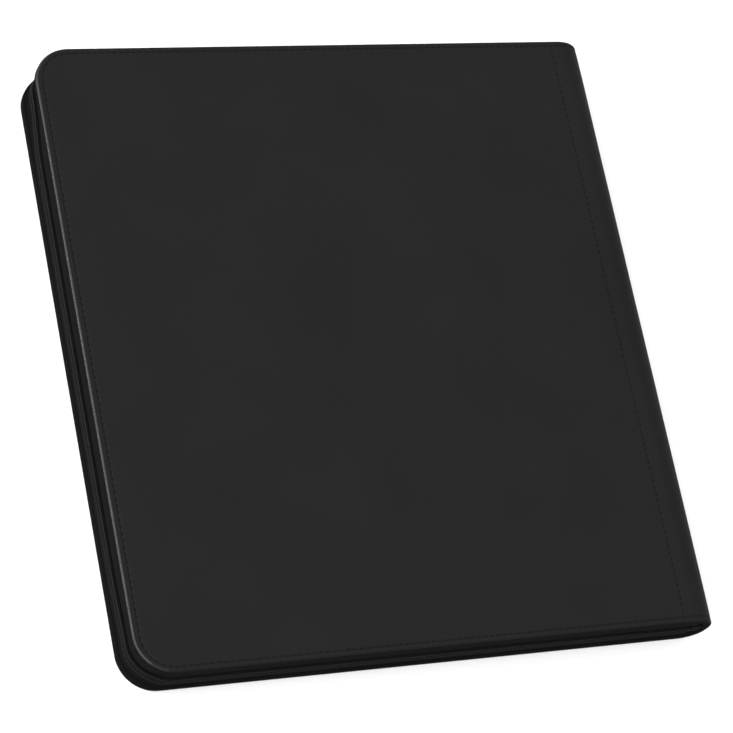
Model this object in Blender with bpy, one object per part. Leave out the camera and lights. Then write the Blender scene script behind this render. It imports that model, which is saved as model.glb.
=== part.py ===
"""Zip-around trading card binder, lying closed on its back cover.

Working coordinates, in millimetres, before the shift to the origin:
  x from the fore-edge (0) to the back of the rounded spine
  y from the tail edge (0) to the head edge (HEIGHT)
  z from the outside of the back cover (0) to the outside of the front cover
"""
import bpy
import bmesh
import math
from mathutils import Vector

# ---------------------------------------------------------------- dimensions
HEIGHT = 340.0            # head to tail
THICK = 34.0              # closed thickness
CORNER_R = 20.0           # fore-edge corners of the covers
SPINE_X = 322.7           # outermost line of the spine

FRONT_R = 17.5            # the spine's curve into the front cover
BACK_R = 12.3             # the spine's tighter curve into the back cover
FRONT_CX, FRONT_CZ = SPINE_X - FRONT_R, THICK - FRONT_R
BACK_CX, BACK_CZ = SPINE_X - BACK_R, BACK_R
SPLIT = 45.0              # where the covers' skins end on the curves, degrees
SPLIT_GAP = 0.15          # half the gap at each split

SKIN = 0.9                # leatherette with its backing cloth
EDGE_DEPTH = 5.0          # turned-in cover edge, outside face to inside
EDGE_WALL = 2.0           # width of that turned edge
EDGE_ROUND = 1.0          # outer rounding of the edge
GAP = 0.3                 # clearance between layers

FOAM = (1.2, 1.9)         # depth range below the outer face
BOARD = (2.2, 4.0)
FLANGE = (4.3, 4.8)       # zip tape sewn in between board and lining
LINING = (5.1, 5.7)
BOARD_INSET = 2.4
LINING_INSET = 3.3
FRONT_BOARD_END = 304.5
BACK_BOARD_END = 309.5

SPINE_BOARD = (1.2, 2.4)
SPINE_LINING = (2.7, 3.3)

TAPE_OUT, TAPE_IN = 2.3, 2.9        # inset of the woven wall
TAPE_FLANGE_IN = 9.0
TAPE_EDGE = 16.3                    # height of the lower tape's free edge
COIL_OUT, COIL_IN = -0.5, 2.0
COIL_LOW, COIL_HIGH = 13.6, 16.5
TAPE_END = 313.5
COIL_END = 311.0
END_TAB = 316.6           # leatherette tabs over the teeth at the tail end

PAGES = 20
PAGE_T = 0.85             # two clear pocket sheets on a black core sheet
WEB_T = 0.2               # single flexible sheet at the binding edge
WEB = 8.0
PAGE_ROOT_X = 310.8
PAGE_WIDTH = 292.0
PAGE_Y = (20.0, 320.0)
PAGE_Z = (6.65, 27.35)    # first and last page, mid-plane
FAN_FIRST, FAN_STEP = 4.0, 8.0      # page angles with the binder fully open

STRIP_X = (311.1, 312.3)
STRIP_Z = (6.3, 27.7)

SLIDER_X = 303.0          # middle of the slider when the zip is shut
SLIDER_HALF = 5.5
SLIDER_H = 9.0
PIVOT_Y = 342.9
SLIDE_TRAVEL = 272.0

BAIL_IN, BAIL_OUT, BAIL_W = 0.95, 1.75, 1.8

X_ORIGIN = (COIL_OUT + SPINE_X) / 2
Y_ORIGIN = (COIL_OUT + PIVOT_Y + BAIL_OUT) / 2
MM = 0.001

# the two flexing lines of the spine, on the skin's outer surface
S45, C45 = math.sin(math.radians(SPLIT)), math.cos(math.radians(SPLIT))
HINGE_BACK = (BACK_CX + BACK_R * S45, BACK_CZ - BACK_R * C45)
HINGE_FRONT = (FRONT_CX + FRONT_R * S45, FRONT_CZ + FRONT_R * C45)

for ob in list(bpy.data.objects):
    bpy.data.objects.remove(ob, do_unlink=True)


def world(x, y, z):
    return Vector(((x - X_ORIGIN) * MM, (y - Y_ORIGIN) * MM, z * MM))


# ----------------------------------------------------------------- materials
def material(name, color, roughness, metallic=0.0, alpha=1.0):
    mat = bpy.data.materials.new(name)
    mat.use_nodes = True
    bsdf = mat.node_tree.nodes["Principled BSDF"]
    bsdf.inputs["Base Color"].default_value = (*color, 1.0)
    bsdf.inputs["Roughness"].default_value = roughness
    bsdf.inputs["Metallic"].default_value = metallic
    bsdf.inputs["Alpha"].default_value = alpha
    mat.diffuse_color = (*color, alpha)
    return mat


LEATHERETTE = material("charcoal_leatherette", (0.024, 0.024, 0.025), 0.55)
FOAM_MAT = material("padding_foam", (0.06, 0.06, 0.06), 0.9)
BOARD_MAT = material("grey_board", (0.30, 0.28, 0.25), 0.85)
LINING_MAT = material("lining_cloth", (0.018, 0.018, 0.019), 0.9)
TAPE_MAT = material("zip_tape", (0.016, 0.016, 0.017), 0.85)
COIL_MAT = material("zip_coil", (0.022, 0.022, 0.024), 0.35)
METAL_MAT = material("dark_zip_metal", (0.10, 0.10, 0.11), 0.3, 1.0)
PAGE_MAT = material("page_film", (0.012, 0.012, 0.013), 0.25)
STRIP_MAT = material("binding_strip", (0.015, 0.015, 0.016), 0.6)


# ------------------------------------------------------------------- helpers
AXIS_AT = {}


def empty(name, x, y, z, parent=None):
    e = bpy.data.objects.new(name, None)
    e.empty_display_size = 0.02
    bpy.context.scene.collection.objects.link(e)
    if parent is None:
        e.location = world(x, y, z)
    else:
        e.parent = parent
        e.location = world(x, y, z) - AXIS_AT[parent.name]
    AXIS_AT[e.name] = world(x, y, z)
    return e


def solid(name, verts, faces, mat, parent=None, smooth=35.0):
    """Closed mesh from points in working millimetres, hung on its axis."""
    bm = bmesh.new()
    shift = AXIS_AT[parent.name] if parent else Vector((0, 0, 0))
    vs = [bm.verts.new(world(*v) - shift) for v in verts]
    for f in faces:
        bm.faces.new([vs[i] for i in f])
    bmesh.ops.recalc_face_normals(bm, faces=bm.faces)
    mesh = bpy.data.meshes.new(name)
    bm.to_mesh(mesh)
    bm.free()
    mesh.materials.append(mat)
    if smooth:
        mesh.shade_smooth()
        mesh.set_sharp_from_angle(angle=math.radians(smooth))
    ob = bpy.data.objects.new(name, mesh)
    bpy.context.scene.collection.objects.link(ob)
    ob.parent = parent
    return ob


def prism(name, outline, lo, hi, axis, mat, parent=None, smooth=35.0):
    """Outline of (u, v) points extruded along z, y or x."""
    place = {"z": lambda u, v, w: (u, v, w),
             "y": lambda u, v, w: (u, w, v),
             "x": lambda u, v, w: (w, u, v)}[axis]
    n = len(outline)
    verts = [place(u, v, lo) for u, v in outline]
    verts += [place(u, v, hi) for u, v in outline]
    faces = [list(range(n)), list(range(n, 2 * n))]
    faces += [[i, (i + 1) % n, n + (i + 1) % n, n + i] for i in range(n)]
    return solid(name, verts, faces, mat, parent, smooth)


def u_path(x_end, segments=12):
    """Outline of the three zipped sides: tail, fore-edge, head.

    Each station is (x, y, inward x, inward y).
    """
    r = CORNER_R
    out = [(x_end, 0.0, 0.0, 1.0)]
    for k in range(segments + 1):
        a = math.radians(90.0 * k / segments)
        out.append((r - r * math.sin(a), r - r * math.cos(a),
                    math.sin(a), math.cos(a)))
    for k in range(segments + 1):
        a = math.radians(90.0 * k / segments)
        out.append((r - r * math.cos(a), HEIGHT - r + r * math.sin(a),
                    math.cos(a), -math.sin(a)))
    out.append((x_end, HEIGHT, 0.0, -1.0))
    return out


def plan(inset, x_end, y_inset=None):
    """Closed plan outline of one layer of a cover."""
    pts = [(x + inset * nx, y + inset * ny)
           for x, y, nx, ny in u_path(x_end)]
    return pts


def edge_section():
    """Cross-section of a skin's edge as (inset, depth) points."""
    pts = []
    r = EDGE_ROUND
    for k in range(5):
        a = math.radians(22.5 * k)
        pts.append((r - r * math.sin(a), r - r * math.cos(a)))
    q = 1.0
    for k in range(4):
        a = math.radians(30.0 * k)
        pts.append((q - q * math.cos(a), EDGE_DEPTH - q + q * math.sin(a)))
    pts.append((EDGE_WALL, EDGE_DEPTH))
    pts.append((EDGE_WALL, SKIN))
    return pts


def front_arc(a, d):
    a = math.radians(a)
    return (FRONT_CX + (FRONT_R - d) * math.sin(a),
            FRONT_CZ + (FRONT_R - d) * math.cos(a))


def back_arc(a, d):
    a = math.radians(a)
    return (BACK_CX + (BACK_R - d) * math.sin(a),
            BACK_CZ - (BACK_R - d) * math.cos(a))


def tray(name, arc, arc_end, flat_z, inward, mat, parent):
    """A cover's skin: flat panel, turned edge, and its part of the curve."""
    section = edge_section()
    n_arc = 7
    rows = []
    angles = [arc_end * (n_arc - 1 - k) / (n_arc - 1) for k in range(n_arc)]

    def arc_row(a, y, sign):
        row = []
        for e, d in section:
            x, z = arc(a, d)
            row.append((x, y + sign * e, z))
        return row

    for a in angles:
        rows.append(arc_row(a, 0.0, 1.0))
    x_flat = arc(0.0, 0.0)[0]
    for x, y, nx, ny in u_path(x_flat)[1:-1]:
        rows.append([(x + e * nx, y + e * ny, flat_z + inward * d)
                     for e, d in section])
    for a in reversed(angles):
        rows.append(arc_row(a, HEIGHT, -1.0))

    return tray_solid(name, rows, n_arc, True, mat, parent)


def tray_solid(name, rows, n_arc, flat, mat, parent):
    m = len(rows[0])
    s = len(rows)
    verts = [p for row in rows for p in row]
    faces = []

    def at(i, j):
        return i * m + j

    for i in range(s - 1):
        if not flat and i == n_arc - 1:
            continue
        for j in range(m - 1):
            faces.append([at(i, j), at(i + 1, j), at(i + 1, j + 1), at(i, j + 1)])
    for j in (0, m - 1):
        for i in range(n_arc - 1):
            faces.append([at(i, j), at(i + 1, j), at(s - 2 - i, j), at(s - 1 - i, j)])
        if flat:
            faces.append([at(i, j) for i in range(n_arc - 1, s - n_arc + 1)])
    faces.append([at(0, j) for j in range(m)]
                 + [at(s - 1, j) for j in reversed(range(m))])
    if not flat:
        faces.append([at(n_arc - 1, j) for j in range(m)]
                     + [at(n_arc, j) for j in reversed(range(m))])
    return solid(name, verts, faces, mat, parent)


def sweep(name, section, x_end, mat, parent, flip=False):
    """Section of (inset, height) points swept round the zipped sides."""
    rows = []
    for x, y, nx, ny in u_path(x_end):
        rows.append([(x + e * nx, y + e * ny, THICK - z if flip else z)
                     for e, z in section])
    m, s = len(section), len(rows)
    verts = [p for row in rows for p in row]
    faces = []
    for i in range(s - 1):
        for j in range(m):
            k = (j + 1) % m
            faces.append([i * m + j, (i + 1) * m + j, (i + 1) * m + k, i * m + k])
    faces.append(list(range(m)))
    faces.append(list(range((s - 1) * m, s * m)))
    return solid(name, verts, faces, mat, parent)


def gap_angle(radius):
    return math.degrees(SPLIT_GAP / radius)


# ---------------------------------------------------------------- joint axes
mid_y = HEIGHT / 2
spine_axis = empty("spine_hinge_axis", HINGE_BACK[0], mid_y, HINGE_BACK[1])
cover_axis = empty("cover_hinge_axis", HINGE_FRONT[0], mid_y, HINGE_FRONT[1],
                   spine_axis)

# ---------------------------------------------------------------- back cover
tray("back_cover_skin", back_arc, SPLIT - gap_angle(BACK_R), 0.0, 1.0,
     LEATHERETTE, None)
prism("back_foam_pad", plan(BOARD_INSET, BACK_BOARD_END), FOAM[0], FOAM[1],
      "z", FOAM_MAT)
prism("back_board", plan(BOARD_INSET, BACK_BOARD_END), BOARD[0], BOARD[1],
      "z", BOARD_MAT)
prism("back_lining", plan(LINING_INSET, BACK_BOARD_END - 1.0), LINING[0],
      LINING[1], "z", LINING_MAT)

# --------------------------------------------------------------- front cover
tray("front_cover_skin", front_arc, SPLIT - gap_angle(FRONT_R), THICK, -1.0,
     LEATHERETTE, cover_axis)
prism("front_foam_pad", plan(BOARD_INSET, FRONT_BOARD_END),
      THICK - FOAM[1], THICK - FOAM[0], "z", FOAM_MAT, cover_axis)
prism("front_board", plan(BOARD_INSET, FRONT_BOARD_END),
      THICK - BOARD[1], THICK - BOARD[0], "z", BOARD_MAT, cover_axis)
prism("front_lining", plan(LINING_INSET, FRONT_BOARD_END - 1.0),
      THICK - LINING[1], THICK - LINING[0], "z", LINING_MAT, cover_axis)


# --------------------------------------------------------------------- spine
def d_line(depth, start, end, steps=7):
    """Points down the D of the spine at a given depth under its skin."""
    pts = []
    for k in range(steps + 1):
        pts.append(front_arc(start + (90.0 - start) * k / steps, depth))
    for k in range(steps + 1):
        pts.append(back_arc(90.0 - (90.0 - end) * k / steps, depth))
    return pts


def spine_skin():
    section = edge_section()
    start = SPLIT + gap_angle(FRONT_R)
    end = SPLIT + gap_angle(BACK_R)
    lines = [d_line(d, start, end) for _, d in section]
    n = len(lines[0])
    rows = [[(lines[j][i][0], section[j][0], lines[j][i][1])
             for j in range(len(section))] for i in range(n)]
    rows += [[(lines[j][i][0], HEIGHT - section[j][0], lines[j][i][1])
              for j in range(len(section))] for i in reversed(range(n))]
    return tray_solid("spine_skin", rows, n, False, LEATHERETTE, spine_axis)


def spine_band(name, depth, start, end, mat):
    outer = d_line(depth[0], start, end)
    inner = d_line(depth[1], start, end)
    inset = EDGE_WALL + GAP
    return prism(name, outer + inner[::-1], inset, HEIGHT - inset, "y", mat,
                 spine_axis)


spine_skin()
spine_band("spine_board", SPINE_BOARD, SPLIT + 3.0, SPLIT + 3.0, BOARD_MAT)
spine_band("spine_lining", SPINE_LINING, SPLIT + 3.0, SPLIT + 3.0, LINING_MAT)


def binding_strip():
    """Channel that the pages are sewn to; its two flanges meet the lining."""
    x0, x1 = STRIP_X
    z0, z1 = STRIP_Z
    lip = 1.0
    depth = SPINE_LINING[1] + GAP

    def reach(z, cx, cz, r):
        return cx + math.sqrt((r - depth) ** 2 - (z - cz) ** 2)

    top = reach(z1, FRONT_CX, FRONT_CZ, FRONT_R)
    top_in = reach(z1 - lip, FRONT_CX, FRONT_CZ, FRONT_R)
    low = reach(z0, BACK_CX, BACK_CZ, BACK_R)
    low_in = reach(z0 + lip, BACK_CX, BACK_CZ, BACK_R)
    outline = [(x0, z0), (x0, z1), (top, z1), (top_in, z1 - lip),
               (x1, z1 - lip), (x1, z0 + lip), (low_in, z0 + lip), (low, z0)]
    return prism("page_binding_strip", outline, PAGE_Y[0] - 6.0,
                 PAGE_Y[1] + 6.0, "y", STRIP_MAT, spine_axis)


binding_strip()

# ----------------------------------------------------------------------- zip
tape_section = [(TAPE_OUT, FLANGE[0]), (TAPE_OUT, TAPE_EDGE),
                (TAPE_IN, TAPE_EDGE), (TAPE_IN, FLANGE[1]),
                (TAPE_FLANGE_IN, FLANGE[1]), (TAPE_FLANGE_IN, FLANGE[0])]


def coil_section():
    """Rounded bead of the coil's teeth."""
    r = 0.8
    pts = []
    corners = [(COIL_OUT + r, COIL_LOW + r, 180), (COIL_IN - r, COIL_LOW + r, 270),
               (COIL_IN - r, COIL_HIGH - r, 0), (COIL_OUT + r, COIL_HIGH - r, 90)]
    for cx, cz, a0 in corners:
        for k in range(3):
            a = math.radians(a0 + 45.0 * k)
            pts.append((cx + r * math.cos(a), cz + r * math.sin(a)))
    return pts


sweep("lower_zip_tape", tape_section, TAPE_END, TAPE_MAT, None)
sweep("upper_zip_tape", tape_section, TAPE_END, TAPE_MAT, cover_axis, True)
sweep("lower_zip_coil", coil_section(), COIL_END, COIL_MAT, None)
sweep("upper_zip_coil", coil_section(), COIL_END, COIL_MAT, cover_axis, True)


def stop(name, y0, y1, z0, z1, parent, length=2.0, mat=METAL_MAT):
    """Small block closing one half of the zip, just past the last tooth."""
    c = 0.4
    outline = [(y0 + c, z0), (y1 - c, z0), (y1, z0 + c), (y1, z1 - c),
               (y1 - c, z1), (y0 + c, z1), (y0, z1 - c), (y0, z0 + c)]
    return prism(name, outline, COIL_END + GAP, COIL_END + GAP + length, "x",
                 mat, parent)


tab = END_TAB - COIL_END - GAP
stop("lower_zip_end_tab", 0.0, TAPE_OUT - GAP, COIL_LOW, COIL_HIGH, None, tab,
     LEATHERETTE)
stop("upper_zip_end_tab", 0.0, TAPE_OUT - GAP, THICK - COIL_HIGH,
     THICK - COIL_LOW, cover_axis, tab, LEATHERETTE)
stop("zip_top_stop_lower", HEIGHT - TAPE_OUT + GAP, HEIGHT, COIL_LOW,
     COIL_HIGH, None)
stop("zip_top_stop_upper", HEIGHT - TAPE_OUT + GAP, HEIGHT,
     THICK - COIL_HIGH, THICK - COIL_LOW, cover_axis)

# -------------------------------------------------------- slider and its pull
zip_axis = empty("zip_slide_axis", SLIDER_X, HEIGHT, THICK / 2)
pull_axis = empty("zip_pull_axis", SLIDER_X, PIVOT_Y, THICK / 2, zip_axis)


def guide(ob):
    ob.hide_render = True
    ob.display_type = "WIRE"
    return ob


def boolean(target, tool, operation):
    mod = target.modifiers.new(operation.lower() + "_" + tool.name, "BOOLEAN")
    mod.operation = operation
    mod.solver = "EXACT"
    mod.object = guide(tool)


def slider_outline():
    """Shield-shaped plate: wide at the mouth, narrower where the teeth mesh."""
    half = SLIDER_H / 2
    z = THICK / 2
    pts = []
    nose = SLIDER_X + SLIDER_HALF
    tail = SLIDER_X - SLIDER_HALF
    r = 1.6
    for cx, cz, a0 in ((nose - r, half - r, 0), (tail + r, half - 1.0 - r, 90),
                       (tail + r, -half + 1.0 + r, 180), (nose - r, -half + r, 270)):
        for k in range(4):
            a = math.radians(a0 + 30.0 * k)
            pts.append((cx + r * math.cos(a), z + cz + r * math.sin(a)))
    return pts


body = prism("zip_slider_body", slider_outline(), HEIGHT + 0.8, HEIGHT + 1.9,
             "y", METAL_MAT, zip_axis)
inner_plate = prism("slider_inner_plate_guide", slider_outline(),
                    HEIGHT - TAPE_IN - GAP - 1.2, HEIGHT - TAPE_IN - GAP, "y",
                    METAL_MAT, zip_axis)
blade = prism("slider_post_guide",
              [(SLIDER_X + 0.8, THICK / 2 - 0.25), (SLIDER_X + 5.0, THICK / 2 - 0.25),
               (SLIDER_X + 5.0, THICK / 2 + 0.25), (SLIDER_X + 0.8, THICK / 2 + 0.25)],
              HEIGHT - TAPE_IN - GAP - 0.6, HEIGHT + 1.3, "y", METAL_MAT, zip_axis)


def bail():
    """Small arch that holds the pull's bar."""
    foot = HEIGHT + 1.4
    pts = [(SLIDER_X + BAIL_OUT, foot)]
    for k in range(11):
        a = math.radians(18.0 * k)
        pts.append((SLIDER_X + BAIL_OUT * math.cos(a),
                    PIVOT_Y + BAIL_OUT * math.sin(a)))
    pts.append((SLIDER_X - BAIL_OUT, foot))
    pts.append((SLIDER_X - BAIL_IN, foot))
    for k in range(11):
        a = math.radians(180.0 - 18.0 * k)
        pts.append((SLIDER_X + BAIL_IN * math.cos(a),
                    PIVOT_Y + BAIL_IN * math.sin(a)))
    pts.append((SLIDER_X + BAIL_IN, foot))
    return prism("slider_bail_guide", pts, THICK / 2 - BAIL_W / 2,
                 THICK / 2 + BAIL_W / 2, "z", METAL_MAT, zip_axis)


boolean(body, blade, "UNION")
boolean(body, inner_plate, "UNION")
boolean(body, bail(), "UNION")


def pull_outline():
    """Tab with a rounded grip end, in x and z."""
    z = THICK / 2
    half_in, half_out, length = 3.4, 4.0, 28.0
    pts = [(SLIDER_X + 0.5, z - half_in + 0.8), (SLIDER_X + 0.5, z + half_in - 0.8),
           (SLIDER_X - 0.3, z + half_in), (SLIDER_X - 6.0, z + half_in)]
    end = SLIDER_X - length + half_out
    for k in range(13):
        a = math.radians(90.0 + 15.0 * k)
        pts.append((end + half_out * math.cos(a), z + half_out * math.sin(a)))
    pts += [(SLIDER_X - 6.0, z - half_in), (SLIDER_X - 0.3, z - half_in)]
    return pts


pull = prism("zip_pull", pull_outline(), PIVOT_Y - 0.5, PIVOT_Y + 0.5, "y",
             METAL_MAT, pull_axis)
window = prism("pull_window_guide",
               [(SLIDER_X - 0.5, THICK / 2 - 1.4), (SLIDER_X - 0.5, THICK / 2 + 1.4),
                (SLIDER_X - 4.2, THICK / 2 + 1.4), (SLIDER_X - 4.2, THICK / 2 - 1.4)],
               PIVOT_Y - 2.0, PIVOT_Y + 2.0, "y", METAL_MAT, pull_axis)
boolean(pull, window, "DIFFERENCE")
grip_hole = prism("pull_hole_guide",
                  [(SLIDER_X - 23.5 + 1.6 * math.cos(math.radians(30 * k)),
                    THICK / 2 + 1.6 * math.sin(math.radians(30 * k)))
                   for k in range(12)],
                  PIVOT_Y - 2.0, PIVOT_Y + 2.0, "y", METAL_MAT, pull_axis)
boolean(pull, grip_hole, "DIFFERENCE")


# --------------------------------------------------------------------- pages
def page(index):
    """Twelve-pocket page: thin flexing web, then the welded pocket area."""
    z = PAGE_Z[0] + (PAGE_Z[1] - PAGE_Z[0]) * index / (PAGES - 1)
    name = "page_%02d" % (index + 1)
    axis = empty(name + "_axis", PAGE_ROOT_X, mid_y, z, spine_axis)
    free = PAGE_ROOT_X - PAGE_WIDTH
    web_end = PAGE_ROOT_X - WEB
    outline = [(PAGE_ROOT_X, z - WEB_T / 2), (web_end, z - WEB_T / 2),
               (web_end - 0.8, z - PAGE_T / 2), (free, z - PAGE_T / 2),
               (free, z + PAGE_T / 2), (web_end - 0.8, z + PAGE_T / 2),
               (web_end, z + WEB_T / 2), (PAGE_ROOT_X, z + WEB_T / 2)]
    return prism(name, outline, PAGE_Y[0], PAGE_Y[1], "y", PAGE_MAT, axis, 20.0)


for i in range(PAGES):
    page(i)
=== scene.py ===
import math
import bpy
import bmesh
import numpy as np
from mathutils import Matrix, Vector


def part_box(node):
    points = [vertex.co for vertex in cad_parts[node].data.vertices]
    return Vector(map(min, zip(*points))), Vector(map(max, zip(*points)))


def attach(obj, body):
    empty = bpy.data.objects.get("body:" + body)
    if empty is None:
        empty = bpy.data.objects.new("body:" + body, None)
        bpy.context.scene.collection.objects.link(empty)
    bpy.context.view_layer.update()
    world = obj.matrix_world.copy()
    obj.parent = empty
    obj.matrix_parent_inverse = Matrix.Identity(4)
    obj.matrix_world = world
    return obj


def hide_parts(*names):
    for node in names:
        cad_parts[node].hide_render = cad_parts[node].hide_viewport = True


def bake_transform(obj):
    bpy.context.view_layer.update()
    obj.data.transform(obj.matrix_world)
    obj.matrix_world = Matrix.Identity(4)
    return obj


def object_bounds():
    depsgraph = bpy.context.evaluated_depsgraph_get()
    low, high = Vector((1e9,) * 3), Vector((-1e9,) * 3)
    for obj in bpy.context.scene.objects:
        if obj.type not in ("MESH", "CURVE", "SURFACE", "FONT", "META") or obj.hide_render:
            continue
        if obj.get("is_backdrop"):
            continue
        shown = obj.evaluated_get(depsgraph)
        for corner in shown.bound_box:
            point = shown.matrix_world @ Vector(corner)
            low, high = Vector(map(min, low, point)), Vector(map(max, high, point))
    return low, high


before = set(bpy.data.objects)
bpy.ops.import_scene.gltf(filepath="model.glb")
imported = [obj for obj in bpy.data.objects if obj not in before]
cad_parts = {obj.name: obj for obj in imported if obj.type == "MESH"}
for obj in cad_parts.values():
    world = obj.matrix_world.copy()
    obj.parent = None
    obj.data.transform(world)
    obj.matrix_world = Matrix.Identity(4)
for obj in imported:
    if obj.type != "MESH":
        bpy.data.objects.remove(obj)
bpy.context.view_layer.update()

MM = 0.001

# --------------------------------------------------------------- frame sizes
# working millimetres: x from the fore-edge, y from the tail, z from below
_lo, _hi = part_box("front_cover_skin")
_blo, _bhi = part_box("back_cover_skin")
X0, Y0 = _lo[0] / MM, _lo[1] / MM
HEIGHT = (_hi[1] - _lo[1]) / MM
THICK = _hi[2] / MM
SPINE_X = (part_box("spine_skin")[1][0] - _lo[0]) / MM
FRONT_R, BACK_R = 17.5, 12.3
FCX, FCZ = SPINE_X - FRONT_R, THICK - FRONT_R
BCX, BCZ = SPINE_X - BACK_R, BACK_R
CORNER = 20.0
SKIN, EDGE_DEPTH = 0.9, 5.0
SEAM_Z = FCZ                                  # where the two skins meet


def W(p):
    """Working millimetres to the frame's metres."""
    p = np.asarray(p, float)
    out = p * MM
    out[..., 0] += X0 * MM
    out[..., 1] += Y0 * MM
    return out


# ------------------------------------------------------------------ the camera
cam_data = bpy.data.cameras.new("camera")
cam_data.sensor_width = 36.0
cam_data.lens = 150.14
cam_data.clip_end = 20.0
camera = bpy.data.objects.new("camera", cam_data)
bpy.context.scene.collection.objects.link(camera)
right = Vector((0.92091715, -0.19061962, 0.33996437))
up = Vector((0.05446824, 0.92662652, 0.37201681))
fwd = Vector((0.3859337, 0.3240794, -0.86372896))
cam_pos = W([-461.88, -362.01, 1372.32 + THICK - 0.5])
m = Matrix.Identity(4)
for row in range(3):
    m[row][0], m[row][1], m[row][2], m[row][3] = right[row], up[row], -fwd[row], cam_pos[row]
camera.matrix_world = m
bpy.context.scene.camera = camera


# ---------------------------------------------------------------- node helper
class Net:
    """Short forms for building a procedural material."""

    def __init__(self, name, **inputs):
        self.mat = bpy.data.materials.new(name)
        self.mat.use_nodes = True
        self.nt = self.mat.node_tree
        self.bsdf = self.nt.nodes["Principled BSDF"]
        for key, value in inputs.items():
            self.bsdf.inputs[key.replace("_", " ")].default_value = value

    def node(self, kind, **props):
        n = self.nt.nodes.new(kind)
        for k, v in props.items():
            setattr(n, k, v)
        return n

    def link(self, a, b):
        self.nt.links.new(a, b)
        return a

    def put(self, n, index, value):
        if hasattr(value, "is_output"):
            self.link(value, n.inputs[index])
        else:
            n.inputs[index].default_value = value

    def math(self, op, a, b=0.0, c=0.0, clamp=False):
        n = self.node("ShaderNodeMath", operation=op, use_clamp=clamp)
        self.put(n, 0, a)
        self.put(n, 1, b)
        self.put(n, 2, c)
        return n.outputs[0]

    def coords(self, kind="UV"):
        """Texture coordinates in millimetres."""
        tc = self.node("ShaderNodeTexCoord")
        n = self.node("ShaderNodeVectorMath", operation="SCALE")
        self.link(tc.outputs[kind], n.inputs[0])
        n.inputs["Scale"].default_value = 1000.0
        return n.outputs[0]

    def stretch(self, vec, scale, rot=(0, 0, 0)):
        n = self.node("ShaderNodeMapping")
        self.link(vec, n.inputs["Vector"])
        n.inputs["Scale"].default_value = scale
        n.inputs["Rotation"].default_value = rot
        return n.outputs[0]

    def noise(self, vec, scale, detail=2.0, rough=0.5):
        n = self.node("ShaderNodeTexNoise")
        self.link(vec, n.inputs["Vector"])
        n.inputs["Scale"].default_value = scale
        n.inputs["Detail"].default_value = detail
        n.inputs["Roughness"].default_value = rough
        return n.outputs["Fac"]

    def voronoi(self, vec, scale, feature="DISTANCE_TO_EDGE", rnd=1.0):
        n = self.node("ShaderNodeTexVoronoi", feature=feature)
        self.link(vec, n.inputs["Vector"])
        n.inputs["Scale"].default_value = scale
        n.inputs["Randomness"].default_value = rnd
        return n.outputs["Distance"]

    def remap(self, v, a, b, c, d, smooth=False):
        n = self.node("ShaderNodeMapRange")
        if smooth:
            n.interpolation_type = "SMOOTHSTEP"
        self.link(v, n.inputs["Value"])
        for key, x in zip(("From Min", "From Max", "To Min", "To Max"), (a, b, c, d)):
            n.inputs[key].default_value = x
        return n.outputs["Result"]

    def mix(self, fac, a, b):
        n = self.node("ShaderNodeMix", data_type="RGBA")
        self.put(n, 0, fac)
        self.put(n, 6, a)
        self.put(n, 7, b)
        return n.outputs[2]

    def bump(self, height, distance, strength=1.0, base=None):
        n = self.node("ShaderNodeBump")
        self.link(height, n.inputs["Height"])
        n.inputs["Distance"].default_value = distance * MM
        n.inputs["Strength"].default_value = strength
        if base is not None:
            self.link(base, n.inputs["Normal"])
        return n.outputs["Normal"]

    def to(self, key, value):
        self.link(value, self.bsdf.inputs[key])


def grey(v, warm=0.0):
    return (v * (1 + warm), v, v * (1 - warm), 1.0)


# ------------------------------------------------------------------ materials
def leatherette(name, value, tone=1.0, gloss=0.11, rough0=0.40):
    """Fine pebbled leatherette with a faint cross weave pressed into it."""
    n = Net(name, Specular_IOR_Level=gloss)
    p = n.coords()
    wob = n.noise(p, 0.35, 2.0)
    cells = n.voronoi(p, 1.15)
    pebble = n.remap(cells, 0.0, 0.30, 0.0, 1.0, True)
    fine = n.noise(p, 3.2, 3.0, 0.6)
    sx = n.math("SINE", n.math("MULTIPLY", n.separate(p)[0], 2 * math.pi / 0.9))
    sy = n.math("SINE", n.math("MULTIPLY", n.separate(p)[1], 2 * math.pi / 0.9))
    weave = n.math("MULTIPLY", sx, sy)
    height = n.math("ADD", n.math("MULTIPLY", pebble, 0.62), n.math("MULTIPLY", fine, 0.42))
    height = n.math("ADD", height, n.math("MULTIPLY", weave, 0.10))
    broad = n.noise(p, 0.018, 2.0, 0.5)
    tint = n.math("ADD", n.math("MULTIPLY", broad, 0.55), n.math("MULTIPLY", fine, 0.45))
    # darker between the pebbles: painted shade in the grain's crevices
    tint = n.math("MULTIPLY", tint, n.remap(pebble, 0.0, 1.0, 0.82, 1.0))
    n.to("Base Color", n.mix(tint, grey(value * 0.72 * tone), grey(value * 1.42 * tone, 0.012)))
    rough = n.math("ADD", n.remap(fine, 0.3, 0.7, rough0, rough0 + 0.08), n.remap(pebble, 0.0, 1.0, 0.12, 0.0))
    rough = n.math("ADD", rough, n.remap(wob, 0.3, 0.7, -0.02, 0.02))
    n.to("Roughness", rough)
    n.to("Normal", n.bump(height, 0.085, 0.85))
    return n.mat


def separate(self, vec):
    n = self.node("ShaderNodeSeparateXYZ")
    self.link(vec, n.inputs[0])
    return n.outputs


Net.separate = separate


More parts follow.
